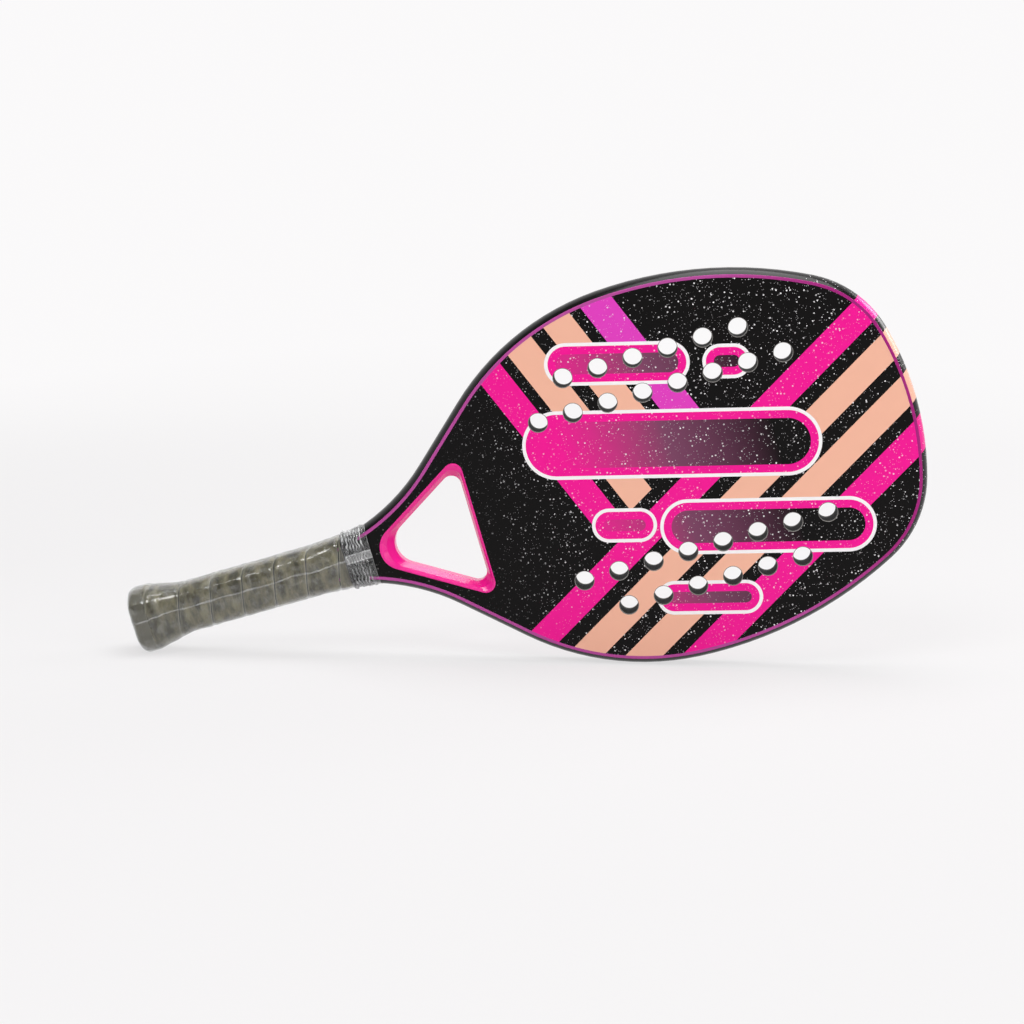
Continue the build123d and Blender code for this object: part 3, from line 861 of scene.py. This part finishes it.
# Clear film
FILM_THICKNESS = 0.12
FILM_POINTS = 180
COARSE_STEP = 1.3
FINE_STEP = 0.33
CREASE_DEPTH = 0.3
SEAM_DIP = 0.3
SEAM_BULGE = 4.0
FRONT_EASE = 0.9
FRONT_HALF_WIDTH = 7.5
RIDGE_WANDER = 0.55
RIDGE_TAPER = 0.5
RIDGE_SHARPNESS = 1.5
# White of the ridge crests: partly the gathered film's milk, partly painted highlight
RIDGE_MILK_AND_SHEEN = 0.9
GATHERED_WELD = (-0.7, 4.2)
WELD_PLACE = 1.3
WELD_WAVE = 1.6
WELD_LINE = 0.35
WELD_MILK = 0.2
FILM_RIM = 0.5
RIM_MILK = 0.4
# Each random pattern's size along the handle, its fineness round it and its seed
LONG_CREASES = (7.0, 1.0, 0.0)
SHORT_CREASES = (2.6, 2.0, 9.0)
RIDGE_BENDS = (9.0, 1.0, 4.0)
RIDGE_KINKS = (5.0, 3.0, 22.0)
RIDGE_HEIGHTS = (3.0, 2.0, 15.0)
MILK_AND_SHEEN_PATCHES = (12.0, 1.5, 31.0)
WELD_BENDS = (16.0, 0.0, 40.0)


def crease(u, turn, size, fineness, seed):
    """Smooth random height of one pattern at a place on the handle, from -1 to 1."""
    angle = fineness * turn
    return noise.noise(Vector((u / size, 3.0 * cos(angle), 3.0 * sin(angle) + seed)))


def ridge(grip, u, turn):
    """Height of the gathered ridges, as a share of the highest."""
    reach = (u - grip.ridge_start) / grip.ridge_pitch
    if not 0.0 < reach < grip.ridges:
        return 0.0
    wander = RIDGE_WANDER * (crease(u, turn, *RIDGE_BENDS) + crease(u, turn, *RIDGE_KINKS))
    wave = 0.5 - 0.5 * cos(tau * (reach + wander))
    fade = min(2.0 * reach, grip.ridges - reach, 1.0)
    return wave**RIDGE_SHARPNESS * fade * (0.8 + 0.4 * crease(u, turn, *RIDGE_HEIGHTS))


def film_height(grip, u, turn):
    """How far the film stands off its taut shape, in creases, seam dips and ridges."""
    creases = crease(u, turn, *LONG_CREASES) + 0.6 * crease(u, turn, *SHORT_CREASES)
    taper = 1.0 - RIDGE_TAPER * max(u - grip.ridge_start, 0.0) / (grip.film_end - grip.ridge_start)
    taper *= 1.0 - FRONT_EASE * max(abs(sin(turn)) - 0.5, 0.0)
    height = CREASE_DEPTH * creases + grip.ridge_height * taper * ridge(grip, u, turn)
    if grip.tape_start < u < grip.tape_end:
        from_seam = grip.tape_pitch / 2 - from_turn_middle(grip, u, turn)
        height += SEAM_DIP * (exp(-((from_seam / SEAM_BULGE) ** 2)) - 2.0 * exp(-(from_seam**2)))
    return max(height, -FILM_GAP / 2)


def film_milk_and_sheen(grip, place):
    """How white the film is: milky along its weld and at its cut edge, and on its ridges partly milky and
    partly a painted highlight of the crests.
    """
    u, v, w = place
    turn = atan2(w, v)
    # White on the ridge crests in random patches: partly the gathered film's milk, partly painted
    # highlight standing in for the crests' glints
    patches = 0.6 + 0.8 * crease(u, turn, *MILK_AND_SHEEN_PATCHES)
    share = RIDGE_MILK_AND_SHEEN * patches * ridge(grip, u, turn) ** 3
    if u > grip.film_end - FILM_RIM:
        share += RIM_MILK
    if w < 0:
        return share
    if u < grip.ridge_start:
        wave = WELD_WAVE * crease(u, turn, *WELD_BENDS)
        return share + WELD_MILK * (abs(v - WELD_PLACE - wave) < WELD_LINE)
    if GATHERED_WELD[0] < v < GATHERED_WELD[1]:
        share = WELD_MILK + share / 2
    # Less of the ridges' white, and so of their painted highlight, on the front facet
    elif abs(v) < FRONT_HALF_WIDTH:
        share *= 1.0 - FRONT_EASE / 2
    return share + WELD_MILK * any(abs(v - line) < WELD_LINE for line in GATHERED_WELD)


def extrude_film(bm, grip):
    """Extrude a closed end along the handle as a round tube, in finer steps over the ridges."""
    bmesh.ops.create_circle(bm, cap_ends=True, segments=FILM_POINTS, radius=1.0)
    bmesh.ops.transform(bm, matrix=Matrix.Rotation(pi / 2, 4, "Y"), verts=bm.verts)
    edges = bm.edges[:]
    for run, step in ((grip.ridge_start, COARSE_STEP), (grip.film_end - grip.ridge_start, FINE_STEP)):
        steps = round(run / step)
        for _ in range(steps):
            made = bmesh.ops.extrude_edge_only(bm, edges=edges)["geom"]
            edges = [part for part in made if isinstance(part, bmesh.types.BMEdge)]
            verts = [part for part in made if isinstance(part, bmesh.types.BMVert)]
            bmesh.ops.translate(bm, vec=(run / steps, 0, 0), verts=verts)


def make_film_wrap(context):
    """The clear film drawn over the grip and the butt, gathered in ridges over the neck."""
    shape = HandleShape(context)
    grip = shape.grip
    bm = bmesh.new()
    extrude_film(bm, grip)
    for vert in bm.verts:
        turn = atan2(vert.co.z, vert.co.y)
        u = vert.co.x
        reach = octagon_reach(shape.under_film(u), turn) + FILM_GAP + film_height(grip, u, turn)
        vert.co = Vector((u - FILM_GAP, reach * cos(turn), reach * sin(turn)))
    stand(bm)
    piece = finish_mesh("film_wrap", bm, make_clear_film())
    own = STANDING.inverted()
    # Store the film's milk, and the ridges' partly painted highlight, at each vertex
    set_shares(piece, "milk", [film_milk_and_sheen(grip, own @ vertex.co) for vertex in piece.data.vertices])
    wall = piece.modifiers.new("Wall", "SOLIDIFY")
    wall.thickness = FILM_THICKNESS * MILLIMETRE
    wall.offset = 1.0
    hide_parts("film_sleeve")


# Butt cap
CAP_BEVEL = 2.4
CAP_CORE = 14.0


def on_outer_corner(edge):
    """Whether an edge is one of the cap's outer corners."""
    outside = min(hypot(*vert.co.yz) for vert in edge.verts) > CAP_CORE
    return outside and edge.is_convex and edge.calc_face_angle(0.0) > radians(15)


def draw_in(vert, shape):
    """Move a corner of the cap in to what the film lies on."""
    turn = atan2(vert.co.z, vert.co.y)
    share = octagon_reach(shape.under_film(vert.co.x), turn) / max(hypot(*vert.co.yz), CAP_CORE)
    if share < 1.0:
        vert.co.yz = share * vert.co.yz


def make_cap_body(context):
    """The butt cap with its outer corners rounded."""
    bm = bmesh.new()
    bm.from_mesh(frame["nodes"]["butt_cap"].data)
    bmesh.ops.remove_doubles(bm, verts=bm.verts, dist=0.001 * MILLIMETRE)
    bmesh.ops.transform(bm, matrix=STANDING.inverted(), verts=bm.verts)
    bmesh.ops.dissolve_limit(bm, angle_limit=radians(1), verts=bm.verts, edges=bm.edges)
    edges = [edge for edge in bm.edges if on_outer_corner(edge)]
    bmesh.ops.bevel(
        bm,
        geom=edges,
        offset=CAP_BEVEL,
        segments=3,
        profile=0.5,
        affect="EDGES",
        material=-1,
        clamp_overlap=True,
    )
    shape = HandleShape(context)
    for vert in bm.verts:
        draw_in(vert, shape)
    stand(bm)
    grip = settings(context, "grip")
    piece = finish_mesh("cap_body", bm, make_moulded("Cap Plastic", grip.cap, 0.42))
    piece.data.set_sharp_from_angle(angle=radians(30))
    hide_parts("butt_cap")


# Studio: each lamp's place and size in metres, and its power in watts
LAMPS = (
    ("key_lamp", (-0.45, -1.4, 1.65), 0.8, 19),
    ("fill_lamp", (1.5, -1.2, 0.8), 1.2, 12),
    ("top_lamp", (0.2, 0.25, 1.7), 1.2, 26),
    ("back_lamp", (1.3, 1.0, 0.9), 0.7, 9),
)
LAMP_TARGET = (0.0, 0.0, 0.1)
FLOOR_HALF_WIDTH = 10.0
FLOOR_FRONT = -12.0
FLOOR_BACK = 1.2
FLOOR_BEND = 1.2
BACKDROP_RISE = 3.0
BEND_STEPS = 16
AIR_STRENGTH = 0.22
NEAR_GLOW = 0.7
GLOW_REACH = (0.5, 1.6)


def add_lamp(name, place, size, watts):
    """A square soft lamp that looks at the racket."""
    data = bpy.data.lights.new(name, "AREA")
    data.shape = "SQUARE"
    data.size = size
    data.energy = watts
    lamp = bpy.data.objects.new(name, data)
    lamp.location = place
    aim = Vector(LAMP_TARGET) - Vector(place)
    lamp.rotation_euler = aim.to_track_quat("-Z", "Y").to_euler()
    bpy.context.scene.collection.objects.link(lamp)


def extrude_sheet(bm, edges, vec):
    """Extrude the last edges of a sheet along a way, and return the new edges."""
    made = bmesh.ops.extrude_edge_only(bm, edges=edges)["geom"]
    verts = [part for part in made if isinstance(part, bmesh.types.BMVert)]
    bmesh.ops.translate(bm, vec=vec, verts=verts)
    return [part for part in made if isinstance(part, bmesh.types.BMEdge)]


def make_studio_floor(context):
    """Pale surface that glows for the camera, in part under the racket and wholly far from it."""
    studio = settings(context, "studio")
    surface = Surface("Studio Floor", studio.floor, 0.9)
    rays = surface.add("ShaderNodeLightPath", {})
    seen = rays.outputs["Is Camera Ray"]
    for kind in ("Is Glossy Ray", "Is Transmission Ray"):
        seen = surface.math("MAXIMUM", seen, rays.outputs[kind])
    spot = surface.add("ShaderNodeTexCoord", {}).outputs["Object"]
    far = surface.step(surface.vector("LENGTH", spot), *GLOW_REACH)
    glow = surface.math("MULTIPLY", seen, surface.blend(far, NEAR_GLOW, 1.0))
    surface.set(
        base_color=surface.mix(glow, studio.floor, (0.0, 0.0, 0.0)),
        emission_color=studio.pale,
        emission_strength=glow,
        specular_ior_level=0.0,
    )
    return surface.material


def make_backdrop(context):
    """A pale floor that curves up into a backdrop."""
    bm = bmesh.new()
    corners = [bm.verts.new((x, FLOOR_FRONT, 0.0)) for x in (-FLOOR_HALF_WIDTH, FLOOR_HALF_WIDTH)]
    edges = extrude_sheet(bm, [bm.edges.new(corners)], (0, FLOOR_BACK - FLOOR_FRONT, 0))
    bend = bmesh.ops.spin(
        bm,
        geom=edges,
        cent=(0, FLOOR_BACK, FLOOR_BEND),
        axis=(1, 0, 0),
        angle=pi / 2,
        steps=BEND_STEPS,
        use_merge=False,
    )["geom_last"]
    edges = [part for part in bend if isinstance(part, bmesh.types.BMEdge)]
    extrude_sheet(bm, edges, (0, 0, BACKDROP_RISE))
    for face in bm.faces:
        face.smooth = True
    mesh = bpy.data.meshes.new("studio_floor")
    bm.to_mesh(mesh)
    bm.free()
    mesh.materials.append(make_studio_floor(context))
    floor = bpy.data.objects.new("studio_floor", mesh)
    context.scene.collection.objects.link(floor)


def make_air(context):
    """Soft light from all round, which the camera sees as pale as the backdrop."""
    world = bpy.data.worlds.new("Studio Air")
    world.use_nodes = True
    tree = world.node_tree
    background = tree.nodes["Background"]
    background.inputs["Color"].default_value = (*settings(context, "studio").pale, 1.0)
    strength = tree.nodes.new("ShaderNodeMapRange")
    strength.inputs["To Min"].default_value = AIR_STRENGTH
    rays = tree.nodes.new("ShaderNodeLightPath")
    tree.links.new(rays.outputs["Is Camera Ray"], strength.inputs["Value"])
    tree.links.new(strength.outputs["Result"], background.inputs["Strength"])
    context.scene.world = world


def make_camera(context):
    """The photograph's camera."""
    studio = settings(context, "studio")
    data = bpy.data.cameras.new("photo_camera")
    data.lens = studio.lens
    camera = bpy.data.objects.new("photo_camera", data)
    view = Vector(studio.camera_target) - Vector(studio.camera_place)
    aim = view.to_track_quat("-Z", "Y").to_matrix().to_4x4()
    roll = Matrix.Rotation(studio.camera_roll, 4, "Z")
    camera.matrix_world = Matrix.Translation(studio.camera_place) @ aim @ roll
    context.scene.collection.objects.link(camera)
    context.scene.camera = camera


# Operators
class RACKET_OT_frame(bpy.types.Operator):
    """Lacquer the frame tube and finish what is inside it"""

    bl_idname = "racket.frame"
    bl_label = "Lacquer Frame"

    def execute(self, context):
        dress(make_frame_lacquer(context), "frame_tube")
        dress(make_thin_layer("Bladder Nylon", (0.55, 0.55, 0.52), 8.0), "frame_bladder")
        dress(make_foam("Plug Foam", (0.6, 0.57, 0.5), 0.8), "tube_end_plugs")
        return {"FINISHED"}


class RACKET_OT_faces(bpy.types.Operator):
    """Print both faces of the head"""

    bl_idname = "racket.faces"
    bl_label = "Print Faces"

    def execute(self, context):
        dress(make_face_print(context), "front_face", "back_face")
        glue = make_thin_layer("Glue Film", (0.5, 0.42, 0.24), 5.0)
        dress(glue, "front_glue_film", "back_glue_film")
        return {"FINISHED"}


class RACKET_OT_core(bpy.types.Operator):
    """Finish the foam core, the bridge and the foam round the throat"""

    bl_idname = "racket.core"
    bl_label = "Finish Core"

    def execute(self, context):
        dress(make_foam("Head Foam", (0.02, 0.02, 0.02), 0.35, 0.75), "core_foam")
        dress(make_woven_carbon(), "throat_bridge")
        filler = make_foam("Filler Foam", (0.6, 0.58, 0.52), 0.6)
        dress(filler, "bridge_foam", "throat_foam", "handle_core")
        return {"FINISHED"}


class RACKET_OT_liner(bpy.types.Operator):
    """Finish the pink surround of the throat"""

    bl_idname = "racket.liner"
    bl_label = "Finish Throat Liner"

    def execute(self, context):
        dress(make_liner_pink(context), "throat_liner")
        return {"FINISHED"}


class RACKET_OT_handle(bpy.types.Operator):
    """Finish the handle's shells, cap, plug, staples and finishing tape"""

    bl_idname = "racket.handle"
    bl_label = "Finish Handle"

    def execute(self, context):
        shell = make_moulded("Handle Plastic", (0.07, 0.07, 0.07), 0.5)
        dress(shell, "handle_shell_front", "handle_shell_back")
        make_cap_body(context)
        plug = make_moulded("Plug Plastic", settings(context, "grip").cap, 0.5)
        dress(plug, "butt_plug")
        dress(make_wire_steel(), "butt_staples")
        dress(make_moulded("Finishing Tape", (0.02, 0.02, 0.021), 0.25), "finishing_tape")
        return {"FINISHED"}


class RACKET_OT_grip(bpy.types.Operator):
    """Wind the grip tape up the handle"""

    bl_idname = "racket.grip"
    bl_label = "Wind Grip Tape"

    def execute(self, context):
        make_grip_winding(context)
        return {"FINISHED"}


class RACKET_OT_film(bpy.types.Operator):
    """Draw the clear film over the grip"""

    bl_idname = "racket.film"
    bl_label = "Draw Film"

    def execute(self, context):
        make_film_wrap(context)
        return {"FINISHED"}


class RACKET_OT_studio(bpy.types.Operator):
    """Set the floor, the lamps and the camera"""

    bl_idname = "racket.studio"
    bl_label = "Set Studio"

    def execute(self, context):
        make_backdrop(context)
        make_air(context)
        for lamp in LAMPS:
            add_lamp(*lamp)
        make_camera(context)
        context.scene.view_settings.view_transform = "Standard"
        return {"FINISHED"}


OPERATORS = (
    RACKET_OT_frame,
    RACKET_OT_faces,
    RACKET_OT_core,
    RACKET_OT_liner,
    RACKET_OT_handle,
    RACKET_OT_grip,
    RACKET_OT_film,
    RACKET_OT_studio,
)


class RACKET_PT_pieces(bpy.types.Panel):
    """Lists the racket's pieces and their settings"""

    bl_label = "Racket"
    bl_idname = "RACKET_PT_pieces"
    bl_space_type = "VIEW_3D"
    bl_region_type = "UI"
    bl_category = "Racket"

    def draw(self, context):
        for operator in OPERATORS:
            self.layout.operator(operator.bl_idname)
        for group in SETTINGS:
            box = self.layout.box()
            box.label(text=group.__name__)
            kit = getattr(context.scene, settings_name(group))
            for name in group.__annotations__:
                box.prop(kit, name)


def settings_name(group):
    """Scene property that holds a settings group, such as racket_grip for RacketGrip."""
    return "racket_" + group.__name__.replace("Racket", "").lower()


CLASSES = SETTINGS + OPERATORS + (RACKET_PT_pieces,)


def register():
    for cls in CLASSES:
        bpy.utils.register_class(cls)
    for group in SETTINGS:
        setattr(bpy.types.Scene, settings_name(group), bpy.props.PointerProperty(type=group))


def unregister():
    for group in SETTINGS:
        delattr(bpy.types.Scene, settings_name(group))
    for cls in reversed(CLASSES):
        bpy.utils.unregister_class(cls)


def main():
    """Make every piece and the studio."""
    register()
    for operator in OPERATORS:
        group, name = operator.bl_idname.split(".")
        getattr(getattr(bpy.ops, group), name)()


if __name__ == "__main__":
    main()
